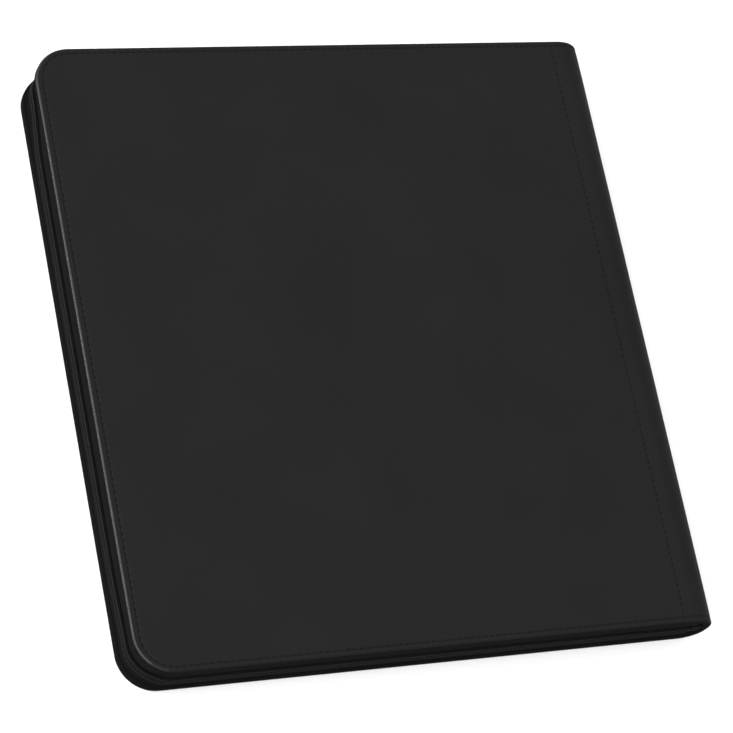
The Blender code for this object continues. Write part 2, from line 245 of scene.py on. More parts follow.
def woven(name, value, pitch=0.55, rough=0.82, sheen=0.04, skew=0.0, spec=0.04):
    """Plain or twill cloth, in threads of the given pitch."""
    n = Net(name, Sheen_Weight=sheen, Sheen_Roughness=0.45, Specular_IOR_Level=spec)
    p = n.coords()
    u, v = n.separate(p)[0], n.separate(p)[1]
    a = n.math("ADD", u, n.math("MULTIPLY", v, skew))
    warp = n.math("SINE", n.math("MULTIPLY", a, 2 * math.pi / pitch))
    weft = n.math("SINE", n.math("MULTIPLY", v, 2 * math.pi / pitch))
    over = n.math("MULTIPLY", warp, weft)
    fuzz = n.noise(p, 5.0, 3.0, 0.65)
    broad = n.noise(p, 0.05, 2.0)
    height = n.math("ADD", n.math("MULTIPLY", over, 0.4), n.math("MULTIPLY", fuzz, 0.5))
    tint = n.math("ADD", n.math("MULTIPLY", fuzz, 0.6), n.math("MULTIPLY", broad, 0.4))
    n.to("Base Color", n.mix(tint, grey(value * 0.6), grey(value * 1.5)))
    n.to("Roughness", n.remap(fuzz, 0.3, 0.7, rough - 0.06, rough + 0.08))
    n.to("Normal", n.bump(height, 0.10, 0.8))
    return n.mat


def thread_material(name, value):
    n = Net(name, Sheen_Weight=0.03, Specular_IOR_Level=0.08)
    p = n.coords("Object")
    ply = n.noise(n.stretch(p, (2.2, 2.2, 2.2)), 1.6, 2.0)
    n.to("Base Color", n.mix(ply, grey(value * 0.7), grey(value * 1.4)))
    n.to("Roughness", n.remap(ply, 0.3, 0.7, 0.55, 0.72))
    n.to("Normal", n.bump(ply, 0.05, 0.6))
    return n.mat


def nylon_material(name, value):
    n = Net(name, Specular_IOR_Level=0.06)
    p = n.coords("Object")
    a = n.noise(p, 1.4, 2.0)
    n.to("Base Color", n.mix(a, grey(value * 0.8), grey(value * 1.25)))
    n.to("Roughness", n.remap(a, 0.3, 0.7, 0.30, 0.42))
    n.to("Normal", n.bump(a, 0.02, 0.4))
    return n.mat


def metal_material(name, value, rough=0.28):
    """Gunmetal plating, brushed along its length, rubbed brighter in places."""
    n = Net(name, Metallic=1.0)
    p = n.coords("Object")
    brush = n.noise(n.stretch(p, (0.5, 6.0, 6.0)), 2.0, 3.0)
    rub = n.noise(p, 0.5, 3.0, 0.6)
    n.to("Base Color", n.mix(n.remap(rub, 0.35, 0.75, 0.0, 1.0), grey(value), grey(value * 1.45, 0.02)))
    n.to("Roughness", n.math("ADD", n.remap(brush, 0.3, 0.7, rough - 0.06, rough + 0.08),
                             n.remap(rub, 0.3, 0.7, 0.05, -0.05)))
    n.to("Normal", n.bump(brush, 0.012, 0.5))
    return n.mat


def plain_soft(name, value, rough, scale, tint=(1.0, 1.0, 1.0), depth=0.08):
    n = Net(name, Specular_IOR_Level=0.1)
    p = n.coords("Object")
    a = n.noise(p, scale, 4.0, 0.6)
    b = n.noise(p, scale * 0.07, 2.0)
    lo = tuple(value * 0.75 * t for t in tint) + (1.0,)
    hi = tuple(value * 1.25 * t for t in tint) + (1.0,)
    n.to("Base Color", n.mix(n.math("ADD", n.math("MULTIPLY", a, 0.6), n.math("MULTIPLY", b, 0.4)), lo, hi))
    n.to("Roughness", n.remap(a, 0.3, 0.7, rough - 0.05, rough + 0.06))
    n.to("Normal", n.bump(a, depth, 0.7))
    return n.mat


def page_material():
    """Clear pocket film over a black sheet, with ribbed weld lines."""
    n = Net("page_film", Coat_Weight=0.18, Coat_Roughness=0.16, Specular_IOR_Level=0.42)
    p = n.coords()
    u, v = n.separate(p)[0], n.separate(p)[1]
    cu = n.math("ABSOLUTE", n.math("SUBTRACT", n.math("FRACT", n.math("DIVIDE", u, PITCH_X)), 0.5))
    cv = n.math("ABSOLUTE", n.math("SUBTRACT", n.math("FRACT", n.math("DIVIDE", v, PITCH_Y)), 0.5))
    weld = n.math("MAXIMUM", n.remap(cu, 0.5 - 1.5 / PITCH_X, 0.5 - 1.1 / PITCH_X, 0.0, 1.0),
                  n.remap(cv, 0.5 - 1.5 / PITCH_Y, 0.5 - 1.1 / PITCH_Y, 0.0, 1.0))
    rib = n.math("SINE", n.math("MULTIPLY", n.math("ADD", u, v), 2 * math.pi / 0.8))
    wave = n.noise(p, 0.05, 2.0)
    grain = n.noise(p, 2.5, 2.0)
    n.to("Base Color", n.mix(weld, grey(0.016), grey(0.040)))
    n.to("Roughness", n.math("ADD", n.remap(grain, 0.3, 0.7, 0.30, 0.38), n.math("MULTIPLY", weld, 0.25)))
    h = n.math("ADD", n.math("MULTIPLY", wave, 1.0), n.math("MULTIPLY", n.math("MULTIPLY", rib, weld), 0.06))
    n.to("Normal", n.bump(h, 0.5, 0.5))
    return n.mat


PITCH_X, PITCH_Y = 70.5, 99.6
SKIN_MAT = leatherette("charcoal_leatherette", 0.0102, 1.0, 0.06, 0.40)
RIM_MAT = leatherette("burnished_edge_leatherette", 0.0102, 1.0, 0.40, 0.26)
RIM_SOFT_MAT = leatherette("half_burnished_edge_leatherette", 0.0102, 1.0, 0.20, 0.30)
# Darker, matte copy of the skin for the lip's underside, side faces and the first turn of its rounding: its lower
# base colour is painted shade on the side walls.
EDGE_SHADE_MAT = leatherette("turned_edge_painted_shade_leatherette", 0.0057, 1.0, 0.02, 0.62)
LINING_MAT = woven("lining_cloth", 0.020, 0.42, 0.9, 0.12, 0.0, 0.15)
TAPE_MAT = woven("zip_tape_weave", 0.0046, 0.62, 0.84, 0.01, 0.9, 0.03)
THREAD_MAT = thread_material("sewing_thread", 0.0035)
TAPE_THREAD_MAT = thread_material("tape_thread", 0.0085)
COIL_MAT = nylon_material("coil_nylon", 0.0066)
METAL_MAT = metal_material("gunmetal", 0.13)
TAB_MAT = plain_soft("end_tab_leatherette", 0.0032, 0.7, 1.3, depth=0.05)
FOAM_MAT = plain_soft("padding_foam", 0.06, 0.9, 2.5)
BOARD_MAT = plain_soft("grey_board", 0.28, 0.88, 1.2, (1.05, 1.0, 0.92))
STRIP_MAT = plain_soft("binding_strip", 0.018, 0.55, 0.9, depth=0.04)
PAGE_MAT = page_material()


# ---------------------------------------------------------------- mesh helper
def make(name, verts, faces, mat, uv=None, sharp=40.0, body=None):
    """Mesh from working millimetres, faces turned outward, shaded smooth."""
    mesh = bpy.data.meshes.new(name)
    mesh.from_pydata(W(verts).tolist(), [], faces)
    bm = bmesh.new()
    bm.from_mesh(mesh)
    bmesh.ops.recalc_face_normals(bm, faces=bm.faces)
    bm.to_mesh(mesh)
    bm.free()
    if uv is not None:
        layer = mesh.uv_layers.new(name="UVMap")
        idx = np.empty(len(mesh.loops), np.int32)
        mesh.loops.foreach_get("vertex_index", idx)
        layer.data.foreach_set("uv", (np.asarray(uv, float)[idx] * MM).astype(np.float32).ravel())
    mesh.materials.append(mat)
    mesh.shade_smooth()
    mesh.set_sharp_from_angle(angle=math.radians(sharp))
    ob = bpy.data.objects.new(name, mesh)
    bpy.context.scene.collection.objects.link(ob)
    if body:
        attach(ob, body)
    return ob


def front_map(s, y, d):
    """Point at run s round the front cover and spine, depth d under its face."""
    if s <= FCX:
        return (s, y, THICK - d)
    a = (s - FCX) / FRONT_R
    return (FCX + (FRONT_R - d) * math.sin(a), y, FCZ + (FRONT_R - d) * math.cos(a))


def back_map(s, y, d):
    if s <= BCX:
        return (s, y, d)
    a = (s - BCX) / BACK_R
    if a <= math.pi / 2:
        return (BCX + (BACK_R - d) * math.sin(a), y, BCZ - (BACK_R - d) * math.cos(a))
    return (SPINE_X - d, y, BCZ + (s - BCX - BACK_R * math.pi / 2))


FRONT_END = FCX + FRONT_R * math.pi / 2
BACK_END = BCX + BACK_R * math.pi / 2 + (SEAM_Z - BCZ)


def spread(*parts):
    """Sorted list of run positions from (start, stop, step) parts."""
    out = set()
    for a, b, step in parts:
        k = max(1, int(round((b - a) / step)))
        for i in range(k + 1):
            out.add(round(a + (b - a) * i / k, 4))
    out = sorted(out)
    kept = [out[0]]
    for x in out[1:]:
        if x - kept[-1] > 0.06:
            kept.append(x)
    kept[-1] = out[-1]
    return kept


def cover_shell(name, place, s_lines, section, mat, rim=None):
    """Closed shell over a cover and half the spine.

    section lists (inset, depth function) from the under side's inner edge,
    round the rim, to the outer side's inner edge. Both ends sit at inset
    CORNER, where they join grids over the rest of the cover.
    """
    y_lines = spread((CORNER, HEIGHT - CORNER, 6.0))
    ns, ny = len(s_lines), len(y_lines)
    stations = [(s, 0.0, 0.0, 1.0, ("t", i)) for i, s in reversed(list(enumerate(s_lines)))]
    steps = 20
    for k in range(1, steps):
        a = math.radians(90.0 * k / steps)
        stations.append((CORNER - CORNER * math.sin(a), CORNER - CORNER * math.cos(a),
                         math.sin(a), math.cos(a), ("c", 0)))
    stations += [(0.0, y, 1.0, 0.0, ("f", j)) for j, y in enumerate(y_lines)]
    for k in range(1, steps):
        a = math.radians(90.0 * k / steps)
        stations.append((CORNER - CORNER * math.cos(a), HEIGHT - CORNER + CORNER * math.sin(a),
                         math.cos(a), -math.sin(a), ("c", 1)))
    stations += [(s, HEIGHT, 0.0, -1.0, ("h", i)) for i, s in enumerate(s_lines)]
    verts, uv, grids = [], [], []
    for _, depth in (section[0], section[-1]):
        base = len(verts)
        grids.append(base)
        for s in s_lines:
            for y in y_lines:
                verts.append(place(s, y, depth(s, y, CORNER)))
                uv.append((s, y))
    lengths = [0.0]
    for k in range(len(section) - 2, -1, -1):
        e0, f0 = section[k + 1]
        e1, f1 = section[k]
        lengths.append(lengths[-1] + math.hypot(e1 - e0, f1(100, 100, e1) - f0(100, 100, e0)))
    run = [CORNER - x for x in reversed(lengths)]

    def grid_index(g, tag):
        kind, i = tag
        i, j = {"t": (i, 0), "c": (0, 0 if i == 0 else ny - 1), "f": (0, i), "h": (i, ny - 1)}[kind]
        return grids[g] + i * ny + j

    table = []
    for x, y, nx, nyy, tag in stations:
        col = [grid_index(0, tag)]
        for k in range(1, len(section) - 1):
            e, depth = section[k]
            px, py = x + nx * e, y + nyy * e
            col.append(len(verts))
            verts.append(place(px, py, depth(px, py, e)))
            uv.append((x + nx * run[k], y + nyy * run[k]))
        col.append(grid_index(1, tag))
        table.append(col)
    faces, rims = [], []
    for a, b, st in zip(table, table[1:], stations):
        turn = math.degrees(math.asin(st[2]))         # 0 at tail and head, 90 at the fore-edge
        for k in range(len(section) - 1):
            q = []
            for v in (a[k], b[k], b[k + 1], a[k + 1]):
                if v not in q:
                    q.append(v)
            if len(q) > 2:
                for m, (_, k0, k1, a0, a1) in enumerate(rim or ()):
                    if k0 <= k < k1 and a0 <= abs(turn) <= a1:
                        rims.append((len(faces), m + 1))
                faces.append(q)
    for g in (0, 1):
        for i in range(ns - 1):
            for j in range(ny - 1):
                o = grids[g] + i * ny + j
                faces.append([o, o + ny, o + ny + 1, o + 1])
    for j in range(ny - 1):
        a, b = grids[0] + (ns - 1) * ny + j, grids[1] + (ns - 1) * ny + j
        faces.append([a, a + 1, b + 1, b])
    faces.append(table[0])
    faces.append(table[-1])
    ob = make(name, verts, faces, mat, uv, 38.0)
    for extra, *_ in rim or ():
        ob.data.materials.append(extra)
    for k, m in rims:
        ob.data.polygons[k].material_index = m
    return ob


# --------------------------------------------------------------- cover skins


def stitch_inset(s, y):
    """Inset of the perimeter stitching: wider along the fore-edge."""
    t = 0.0
    if s < CORNER:
        v = CORNER - min(y, HEIGHT - y)
        t = 1.0 if v <= 0 else math.atan2(CORNER - s, v) / (math.pi / 2)
    return 2.75 + 1.05 * t * t * (3 - 2 * t)


def bell(x, width):
    return math.exp(-(x / width) ** 2)


def skin_top(stitch_s, step_s):
    def depth(s, y, e):
        d = 0.34 * bell(e - stitch_inset(s, y), 0.48)
        inner = min(1.0, max(0.0, (e - 2.9) / 0.4))
        d += inner * (0.16 * bell(s - stitch_s, 0.48) + 0.03 * bell(s - step_s, 1.2))
        # the padding lifts the face a little between the rows of stitching
        lift = 1 - math.exp(-max(0.0, e - 3.4) / 4.0)
        lift *= 1 - 0.9 * bell(s - stitch_s, 2.6)
        d -= 0.13 * lift
        # slow unevenness of a soft cover
        d += inner * 0.035 * (math.sin(s * 0.061 + y * 0.023) * math.sin(y * 0.047 - s * 0.019 + 1.3)
                              + 0.5 * math.sin(s * 0.21 + 0.7) * math.sin(y * 0.17 + s * 0.05))
        return d
    return depth


def flat_at(d):
    return lambda s, y, e: d


def skin_section(top):
    sec = [(CORNER, flat_at(SKIN)), (2.0, flat_at(SKIN)), (2.0, flat_at(EDGE_DEPTH - 0.15)),
           (1.85, flat_at(EDGE_DEPTH)), (1.2, flat_at(EDGE_DEPTH))]
    for k in range(1, 7):
        a = math.radians(15.0 * k)
        sec.append((1.2 - 1.2 * math.sin(a), flat_at(EDGE_DEPTH - 1.2 + 1.2 * math.cos(a))))
    sec.append((0.0, flat_at(3.0)))
    r = 1.05
    for k in range(0, 11):
        a = math.radians(9.0 * k)
        sec.append((r - r * math.cos(a), flat_at(r - r * math.sin(a))))
    for e in (1.6, 2.1, 2.3, 2.45, 2.6, 2.75, 2.9, 3.05, 3.2, 3.35, 3.5, 3.65, 3.8, 3.95, 4.1, 4.3, 4.6, 5.2, 6.5,
              9.0, 13.0, CORNER):
        sec.append((e, top))
    return sec


# The lip's faces take the darker copy of the skin, which is painted shade on the side walls; the rounding takes
# glossier copies.
RIMS = ((EDGE_SHADE_MAT, 0, 13, 0, 90), (RIM_MAT, 13, 22, 40, 90), (RIM_SOFT_MAT, 13, 22, 12, 39.9))
front_top = skin_top(300.9, 304.9)
front_lines = spread((CORNER, 299.4, 6.0), (299.6, 302.2, 0.2), (302.2, 303.4, 0.4),
                     (303.4, 306.4, 0.3), (306.4, FRONT_END, 0.9), (FRONT_END - 0.25, FRONT_END, 0.25))
front_skin = cover_shell("front_and_spine_leatherette", front_map, front_lines,
                         skin_section(front_top), SKIN_MAT, RIMS)
back_top = skin_top(305.0, 309.2)
back_lines = spread((CORNER, 303.2, 6.0), (303.6, 306.4, 0.2), (306.4, 307.6, 0.4),
                    (307.6, 310.6, 0.3), (310.6, BACK_END, 0.8), (BACK_END - 0.25, BACK_END, 0.25))
back_skin = cover_shell("back_and_spine_leatherette", back_map, back_lines,
                        skin_section(back_top), SKIN_MAT, RIMS)

F_START = W([SPINE_X, HEIGHT / 2, FCZ])
F_END = W([FCX, HEIGHT / 2, THICK])
B_START = W([BCX, HEIGHT / 2, 0.0])
B_END = W([SPINE_X, HEIGHT / 2, BCZ])


def over_front(ob):
    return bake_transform(ob)


def over_back(ob):
    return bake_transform(ob)


over_front(front_skin)
over_back(back_skin)
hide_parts("front_cover_skin", "spine_skin")
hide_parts("back_cover_skin", "spine_skin")


# -------------------------------------------------------------------- sewing
def rim_path(s_end, e=None):
    """Points (s, y) at inset e, or at the seam's own inset, round tail, fore-edge and head."""
    def gap(s, y):
        return e if e is not None else stitch_inset(s, y)
    low = gap(CORNER, 0.0)
    side = gap(0.0, HEIGHT / 2)
    pts = [(s_end - (s_end - CORNER) * k / 400, low) for k in range(401)]
    for k in range(1, 41):
        a = math.radians(90.0 * k / 40)
        r = CORNER - gap(CORNER - CORNER * math.sin(a), CORNER - CORNER * math.cos(a))
        pts.append((CORNER - r * math.sin(a), CORNER - r * math.cos(a)))
    for k in range(1, 401):
        pts.append((side, CORNER + (HEIGHT - 2 * CORNER) * k / 400))
    for k in range(1, 41):
        a = math.radians(90.0 * k / 40)
        r = CORNER - gap(CORNER - CORNER * math.cos(a), HEIGHT - CORNER + CORNER * math.sin(a))
        pts.append((CORNER - r * math.cos(a), HEIGHT - CORNER + r * math.sin(a)))
    for k in range(1, 401):
        pts.append((CORNER + (s_end - CORNER) * k / 400, HEIGHT - low))
    return np.array(pts)


def stitches(name, place, pts, surface, pitch=3.6, length=2.5, radius=0.27, sides=7, mat=None):
    """Row of sewn stitches lying in their groove, each dipping at its ends."""
    seg = np.linalg.norm(np.diff(pts, axis=0), axis=1)
    dist = np.concatenate([[0], np.cumsum(seg)])
    count = int((dist[-1] - 1.0) // pitch)
    margin = (dist[-1] - count * pitch) / 2
    verts, faces = [], []
    rings = [(0.0, 0.10, 0.50), (0.08, 0.20, 0.26), (0.25, 0.98, 0.06), (0.5, 1.0, 0.0),
             (0.75, 0.98, 0.06), (0.92, 0.20, 0.26), (1.0, 0.10, 0.50)]
    rings = [(0.0, 0.35, 0.46), (0.10, 0.80, 0.22), (0.28, 1.0, 0.05), (0.5, 1.04, 0.0),
             (0.72, 1.0, 0.05), (0.90, 0.80, 0.22), (1.0, 0.35, 0.46)]

    def at(l):
        return np.array([np.interp(l, dist, pts[:, 0]), np.interp(l, dist, pts[:, 1])])

    for i in range(count):
        l0 = margin + i * pitch + (pitch - length) / 2
        base = len(verts)
        for t, fat, dip in rings:
            l = l0 + t * length
            c = at(l)
            tangent = at(l + 0.05) - at(l - 0.05)
            tangent /= np.linalg.norm(tangent)
            side = np.array([-tangent[1], tangent[0]])
            low = surface(c[0], c[1])
            for k in range(sides):
                a = 2 * math.pi * k / sides
                q = c + side * radius * fat * math.cos(a)
                d = low - radius * 0.55 + dip - radius * fat * math.sin(a)
                verts.append(place(q[0], q[1], d))
        n = len(rings)
        for r in range(n - 1):
            for k in range(sides):
                k2 = (k + 1) % sides
                o = base + r * sides
                faces.append([o + k, o + k2, o + sides + k2, o + sides + k])
        faces.append([base + k for k in range(sides)])
        faces.append([base + (n - 1) * sides + k for k in range(sides)])
    return make(name, verts, faces, mat or THREAD_MAT, None, 60.0)


def perimeter_surface(top):
    return lambda s, y: top(s, y, stitch_inset(s, y))


def row_surface(top):
    return lambda s, y: top(s, y, 12.0)


row_f = np.array([(300.9, 3.4 + (HEIGHT - 6.8) * k / 200) for k in range(201)])
row_b = np.array([(305.0, 3.4 + (HEIGHT - 6.8) * k / 200) for k in range(201)])
f_rim = stitches("front_rim_stitching", front_map, rim_path(FRONT_END), perimeter_surface(front_top))
b_rim = stitches("back_rim_stitching", back_map, rim_path(BACK_END), perimeter_surface(back_top))
f_row = stitches("front_board_stitching", front_map, row_f, row_surface(front_top))
b_row = stitches("back_board_stitching", back_map, row_b, row_surface(back_top))
over_front(f_rim)
over_back(b_rim)
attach(f_row, "front_cover")
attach(b_row, "back_cover")
for ob in (f_rim, b_rim, f_row, b_row):
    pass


# -------------------------------------------------------------------- lining
def lining_depth(arc_start, radius, base):
    """Lining lies on the board, then drops to the spine's own board."""
    def depth(s, y, e):
        t = (s - (arc_start - 2.0)) / (2.0 + radius * math.radians(34.0))
        t = min(1.0, max(0.0, t))
        t = t * t * (3 - 2 * t)
        d = 5.1 + (2.62 - 5.1) * t
        return d + base
    return depth


def lining_section(arc_start, radius):
    def lay(off):
        return lining_depth(arc_start, radius, off)

    def inner(s, y, e):
        d = 0.6 - 0.16 * bell(e - 6.0, 0.5)
        d += 0.04 * (math.sin(s * 0.09 + 1.0) * math.sin(y * 0.07) + math.sin(s * 0.031 - y * 0.043))
        return lay(0.0)(s, y, e) + d
    sec = [(CORNER, lay(0.0)), (3.5, lay(0.0)), (3.35, lay(0.12)), (3.3, lay(0.3)), (3.4, lay(0.5)),
           (3.6, lay(0.6))]
    for e in (4.2, 5.0, 5.5, 5.8, 6.0, 6.2, 6.5, 7.2, 9.0, 13.0, CORNER):
        sec.append((e, inner))
    return sec, inner


def lining(name, place, arc_start, radius, end, fold, node):
    lines = spread((CORNER, arc_start - 3.0, 6.0), (arc_start - 3.0, end, 0.9))
    sec, inner = lining_section(arc_start, radius)
    ob = cover_shell(name, place, lines, sec, LINING_MAT)
    fold(ob)
    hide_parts(*node)
    pts = rim_path(arc_start - 3.0, 6.0)
    sew = stitches(name + "_stitching", place, pts, lambda s, y: inner(s, y, 6.0) - 0.16, radius=-0.24)
    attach(sew, "front_cover" if place is front_map else "back_cover")
    return ob


front_lining = lining("front_lining_cloth", front_map, FCX, FRONT_R, FRONT_END, over_front,
                      ("front_lining", "spine_lining"))
back_lining = lining("back_lining_cloth", back_map, BCX, BACK_R, BACK_END, over_back,
                     ("back_lining", "spine_lining"))


# ----------------------------------------------------------------- zip tapes
def u_stations(x_end, step=3.0, corner=24):
    """(x, y, inward x, inward y, distance) round tail, fore-edge and head."""
    out = []
    n = int((x_end - CORNER) / step)
    for k in range(n + 1):
        out.append((x_end - (x_end - CORNER) * k / n, 0.0, 0.0, 1.0))
    for k in range(1, corner + 1):
        a = math.radians(90.0 * k / corner)
        out.append((CORNER - CORNER * math.sin(a), CORNER - CORNER * math.cos(a), math.sin(a), math.cos(a)))
    nf = int((HEIGHT - 2 * CORNER) / step)
    for k in range(1, nf + 1):
        out.append((0.0, CORNER + (HEIGHT - 2 * CORNER) * k / nf, 1.0, 0.0))
    for k in range(1, corner + 1):
        a = math.radians(90.0 * k / corner)
        out.append((CORNER - CORNER * math.cos(a), HEIGHT - CORNER + CORNER * math.sin(a), math.cos(a), -math.sin(a)))
    for k in range(1, n + 1):
        out.append((CORNER + (x_end - CORNER) * k / n, HEIGHT, 0.0, -1.0))
    res, dist = [], 0.0
    for i, st in enumerate(out):
        if i:
            dist += math.hypot(st[0] - out[i - 1][0], st[1] - out[i - 1][1])
        res.append(st + (dist,))
    return res


def lean(x, y, z):
    """The tape draws in a little where it turns a corner of the fore-edge."""
    if x > CORNER:
        return 0.0
    v = min(y, HEIGHT - y)
    if v >= CORNER:
        w = 1 - (v - CORNER) / 40.0
    else:
        w = math.atan2(CORNER - x, CORNER - v) / math.radians(28.0)
    w, q = (max(0.0, min(1.0, t)) for t in (w, (z - 5.8) / 2.2))
    most = 1.9 if y > HEIGHT / 2 else 0.8
    return most * w * w * (3 - 2 * w) * q * q * (3 - 2 * q)


def swept(name, section, stations, mat, flip, sharp=40.0, wave=None):
    m = len(section)
    run = [0.0]
    for k in range(1, m):
        run.append(run[-1] + math.hypot(section[k][0] - section[k - 1][0], section[k][1] - section[k - 1][1]))
    verts, uv, faces = [], [], []
    for x, y, nx, ny, dist in stations:
        for k, (e, z) in enumerate(section):
            if wave:
                e = e + wave(dist, z)
            e = e + lean(x, y, z)
            verts.append((x + nx * e, y + ny * e, THICK - z if flip else z))
            uv.append((dist, run[k]))
    for i in range(len(stations) - 1):
        for k in range(m):
            k2 = (k + 1) % m
            faces.append([i * m + k, (i + 1) * m + k, (i + 1) * m + k2, i * m + k2])
    faces.append(list(range(m)))
    faces.append(list(range((len(stations) - 1) * m, len(stations) * m)))
    return make(name, verts, faces, mat, uv, sharp)


TAPE_END = (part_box("lower_zip_tape")[1][0]) / MM - X0
COIL_END = (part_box("lower_zip_coil")[1][0]) / MM - X0
# outer side upward, over the free edge, down the inner side, along the flange
tape_section = [(2.30, 4.3), (2.30, 5.3), (2.30, 5.6), (2.30, 5.9), (2.30, 6.2), (2.30, 6.6), (2.30, 7.2),
                (2.30, 8.6), (2.30, 10.4), (2.30, 11.4), (2.30, 11.8), (2.30, 12.3), (2.30, 12.9), (2.30, 13.1), (2.30, 13.3), (2.30, 13.6), (2.30, 14.1),
                (2.30, 16.1), (2.45, 16.3), (2.75, 16.3), (2.90, 16.1), (2.90, 14.1), (2.90, 13.6), (2.90, 13.2), (2.90, 12.9),
                (2.90, 11.0), (2.90, 8.6), (2.90, 7.2), (2.90, 6.4), (2.90, 5.6),
                (3.05, 5.0), (3.4, 4.8), (9.0, 4.8), (9.0, 4.3)]


def tape_wave(dist, z):
    """The woven wall is padded out nearly flush between its seam and the teeth."""
    if z < 5.3 or z > 13.6:
        return 0.0
    a = max(0.0, min(1.0, (z - 5.3) / 1.5))
    # on the head side the slider's rims pass between the wall and the teeth
    h = max(0.0, min(1.0, (dist - HEAD_RUN + 20.0) / 20.0))
    b = max(0.0, min(1.0, (13.6 - 1.4 * h - z) / 0.7))
    a, b = (q * q * (3 - 2 * q) for q in (a, b))
    slow = 0.08 * math.sin(dist * 0.071) * math.sin(dist * 0.033 + 1.0) * math.sin(math.pi * (z - 5.3) / 8.3)
    return -(TAPE_BULGE + slow) * a * b


TAPE_BULGE = 1.55
HEAD_RUN = (TAPE_END - CORNER) + (HEIGHT - 2 * CORNER) + math.pi * CORNER - 4.0
tapes = {}
for low, body in ((True, "back_cover"), (False, "front_cover")):
    name = "lower" if low else "upper"
    ob = swept(name + "_tape_weave", tape_section, u_stations(TAPE_END), TAPE_MAT, not low, 50.0, tape_wave)
    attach(ob, body)
    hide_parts(name + "_zip_tape")
    tapes[name] = ob


def tape_end_fold(name, low, head, body):
    """The last of the tape, folded in behind the spine's turned edge."""
    verts, faces, uv = [], [], []
    nu, nv = 8, 20
    x0 = TAPE_END - 0.4
    for side in (0, 1):
        for i in range(nu + 1):
            for j in range(nv + 1):
                z = 5.6 + (16.3 - 5.6) * j / nv
                if low:
                    r = BACK_R - 3.9
                    dz = max(0.0, BCZ - z)
                    limit = BCX + math.sqrt(max(0.0, r * r - dz * dz)) if z < BCZ else SPINE_X - 3.9
                else:
                    r = FRONT_R - 3.9
                    dz = (THICK - z) - FCZ
                    limit = FCX + math.sqrt(max(0.0, r * r - dz * dz))
                limit = max(limit, x0 + 0.3)
                x = x0 + (limit - x0) * i / nu
                t = i / nu
                e = 2.5 + 0.9 * t * t + 0.6 * side + (1 - t * t * (3 - 2 * t)) * (tape_wave(1e4 if head else 0.0, z) - 0.15)
                y = HEIGHT - e if head else e
                verts.append((x, y, z if low else THICK - z))
                uv.append((x, z))
    m = (nu + 1) * (nv + 1)

    def at(s, i, j):
        return s * m + i * (nv + 1) + j
    for i in range(nu):
        for j in range(nv):
            for s in (0, 1):
                faces.append([at(s, i, j), at(s, i + 1, j), at(s, i + 1, j + 1), at(s, i, j + 1)])
    for i in range(nu):
        for j in (0, nv):
            faces.append([at(0, i, j), at(0, i + 1, j), at(1, i + 1, j), at(1, i, j)])
    for j in range(nv):
        for i in (0, nu):
            faces.append([at(0, i, j), at(0, i, j + 1), at(1, i, j + 1), at(1, i, j)])
    ob = make(name, verts, faces, TAPE_MAT, uv, 50.0, body)
    return ob


for low, body in ((True, "back_cover"), (False, "front_cover")):
    for head in (False, True):
        tape_end_fold("%s_tape_end_%s" % ("lower" if low else "upper", "head" if head else "tail"), low, head, body)


# --------------------------------------------------------------- coil teeth
def coil(name, low, body, pitch=1.5, wire=0.36, sides=6):
    """Loops of nylon wire, one to a tooth, sewn along the tape's free edge."""
    st = u_stations(COIL_END, 0.5, 60)
    arr = np.array(st)
    total = arr[-1, 4]
    count = int(total / pitch)
    # loop in (inset, height): outer leg up, round the head, inner leg down
    loop = [(-0.10, 13.85), (-0.14, 14.6), (-0.12, 15.9), (0.02, 16.75), (0.42, 17.18), (0.98, 17.22),
            (1.42, 16.85), (1.56, 16.0), (1.58, 14.6), (1.50, 13.95)]
    loop = np.array(loop)
    nrm = np.gradient(loop, axis=0)
    nrm = nrm / np.linalg.norm(nrm, axis=1)[:, None]
    perp = np.stack([-nrm[:, 1], nrm[:, 0]], 1)
    verts, faces = [], []
    shift = 0.0 if low else pitch / 2
    for i in range(count):
        l = (i + 0.5) * pitch + shift
        if l > total - 0.3:
            break
        v = [np.interp(l, arr[:, 4], arr[:, c]) for c in range(4)]
        nlen = math.hypot(v[2], v[3])
        nx, ny = v[2] / nlen, v[3] / nlen
        tx, ty = ny, -nx
        base = len(verts)
        for p, (e, z) in enumerate(loop):
            tilt = (z - 15.5) * 0.10
            for k in range(sides):
                a = 2 * math.pi * k / sides + 0.3
                ca, sa = math.cos(a), math.sin(a)
                ee = e + perp[p][0] * wire * ca + lean(v[0], v[1], z)
                zz = z + perp[p][1] * wire * ca
                along = wire * 1.05 * sa + tilt
                zz = min(zz, 17.4)
                verts.append((v[0] + nx * ee + tx * along, v[1] + ny * ee + ty * along,
                              zz if low else THICK - zz))
        n = len(loop)
        for r in range(n - 1):
            for k in range(sides):
                k2 = (k + 1) % sides
                o = base + r * sides
                faces.append([o + k, o + k2, o + sides + k2, o + sides + k])
        faces.append([base + k for k in range(sides)])
        faces.append([base + (n - 1) * sides + k for k in range(sides)])
    ob = make(name, verts, faces, COIL_MAT, None, 60.0, body)
    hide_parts(("lower" if low else "upper") + "_zip_coil")
    # two sewn rows hold the coil, and a cord runs through its loops
    for tag, e, z, r in (("sewing_outer", 0.05, 14.35, 0.28), ("sewing_inner", 0.05, 15.35, 0.24),
                         ("cord", 0.72, 15.1, 0.45)):
        sec = [(e - (0.42 if tag != "cord" else 0.0) + r * math.cos(2 * math.pi * k / 8), z + r * math.sin(2 * math.pi * k / 8))
               for k in range(8)]
        wave = (lambda d, zz: 0.10 * abs(math.sin(math.pi * d / 1.5))) if tag != "cord" else None
        row = swept("%s_%s" % (name, tag), sec, u_stations(COIL_END - 0.5, 0.75, 40), TAPE_THREAD_MAT, not low, 60.0, wave)
        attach(row, body)
    return ob


coil("lower_coil_teeth", True, "back_cover")
coil("upper_coil_teeth", False, "front_cover")


